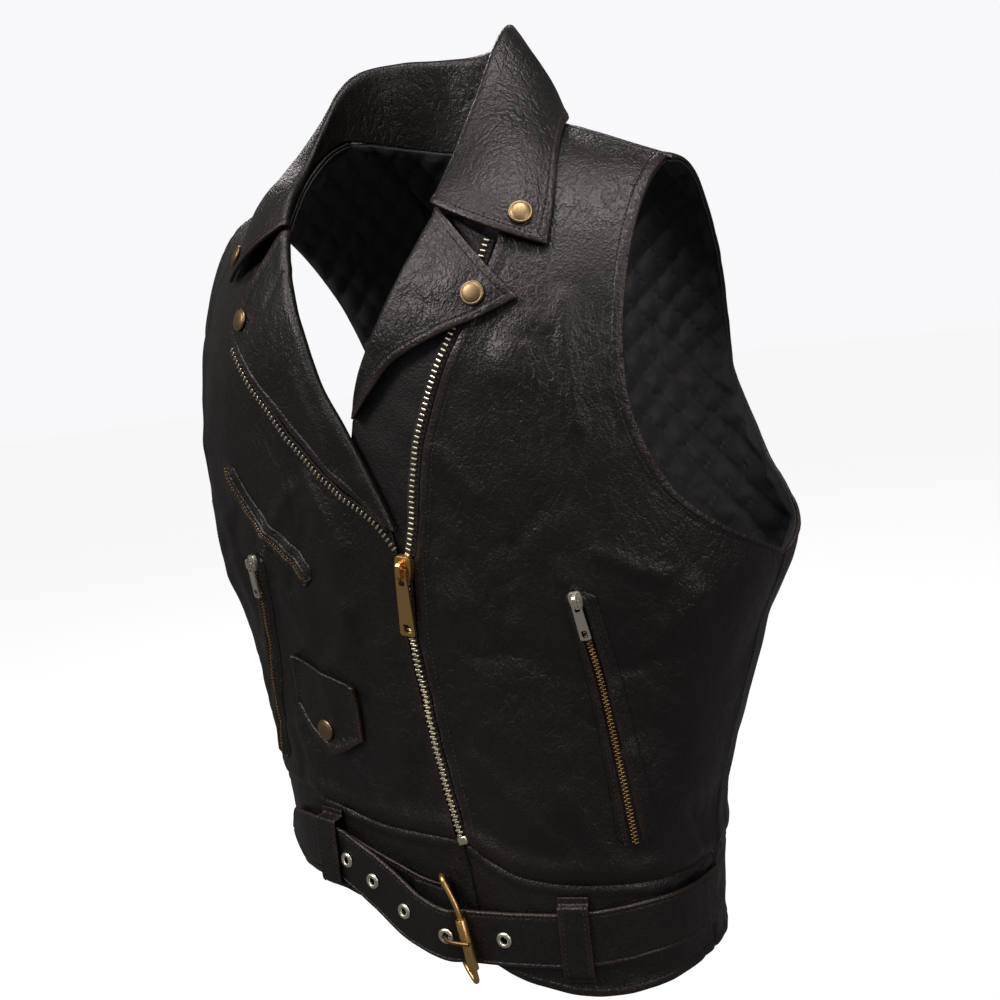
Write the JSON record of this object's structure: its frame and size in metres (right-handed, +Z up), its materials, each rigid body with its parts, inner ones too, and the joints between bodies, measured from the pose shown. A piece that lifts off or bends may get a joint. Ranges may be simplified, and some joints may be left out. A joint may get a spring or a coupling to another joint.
{
  "type": "leather biker vest",
  "caption": "Sleeveless leather biker vest with an offset zip, snapped lapels and collar, zip pockets and a buckled waist belt.",
  "frame": {"origin": "centre of the line between the two points where the shoulders meet the neck", "axes": "+X to the wearer's left, front faces -Y, +Z up"},
  "size_m": [0.4329, 0.2479, 0.6148],
  "materials": {
    "leather": "semi-gloss, aged, pebbled",
    "facing": "semi-gloss",
    "lining": "matt, quilted",
    "tape": "matt, woven",
    "pale_brass": "polished",
    "brass": "worn",
    "dark_brass": "antique",
    "silver": "worn"
  },
  "bodies": {
    "garment": {"front_left": "leather", "front_right": "leather", "back": "leather", "lining_front_left": "lining", "lining_front_right": "lining", "lining_back": "lining", "facing_right": "facing", "underlap": "facing", "lapel_left": "leather", "lapel_right": "leather", "collar": "leather", "waistband_left": "leather", "waistband_right": "leather", "waistband_back": "leather", "belt_tongue": "leather", "eyelet_1": "silver", "eyelet_2": "silver", "eyelet_3": "silver", "eyelet_4": "silver", "eyelet_5": "silver", "belt_loop_left": "leather", "belt_loop_right": "leather", "belt_strap": "leather", "buckle_frame": "brass", "buckle_roller": "brass", "buckle_prong": "dark_brass", "front_zip_tape_left": "tape", "front_zip_tape_left_open": "tape", "front_zip_tape_right": "tape", "front_zip_tape_right_open": "tape", "front_zip_rows_closed": "pale_brass", "front_zip_row_left": "pale_brass", "front_zip_row_right": "pale_brass", "hand_pocket_left_tape": "tape", "hand_pocket_left_rows": "dark_brass", "hand_pocket_left_welt_wide": "leather", "hand_pocket_left_welt_narrow": "leather", "hand_pocket_right_tape": "tape", "hand_pocket_right_rows": "dark_brass", "hand_pocket_right_welt_wide": "leather", "hand_pocket_right_welt_narrow": "leather", "breast_pocket_tape": "tape", "breast_pocket_rows": "dark_brass", "breast_pocket_welt_wide": "leather", "breast_pocket_welt_narrow": "leather", "front_zip_slider": "brass", "hand_pocket_left_slider": "silver", "hand_pocket_right_slider": "silver", "coin_pocket_flap": "leather", "snap_collar_left": "dark_brass", "snap_collar_right": "dark_brass", "snap_lapel_left": "dark_brass", "snap_lapel_right": "dark_brass", "snap_coin_flap": "dark_brass"},
    "front_pull": {"front_zip_pull": "brass"},
    "left_pocket_pull": {"hand_pocket_left_pull": "silver"},
    "right_pocket_pull": {"hand_pocket_right_pull": "silver"}
  },
  "joints": [
    {"name": "front_pull_hinge", "type": "hinge", "parent": "garment", "child": "front_pull", "pos_m": [0.02522, -0.12316, -0.27363], "axis": [-0.9925, -0.0407, 0.1157], "range_deg": [0, 150]},
    {"name": "left_pocket_pull_hinge", "type": "hinge", "parent": "garment", "child": "left_pocket_pull", "pos_m": [0.13593, -0.10233, -0.2954], "axis": [-0.9377, -0.3165, -0.1432], "range_deg": [0, 150]},
    {"name": "right_pocket_pull_hinge", "type": "hinge", "parent": "garment", "child": "right_pocket_pull", "pos_m": [-0.11836, -0.10748, -0.27661], "axis": [-0.9535, 0.3003, 0.0253], "range_deg": [0, 150]}
  ]
}
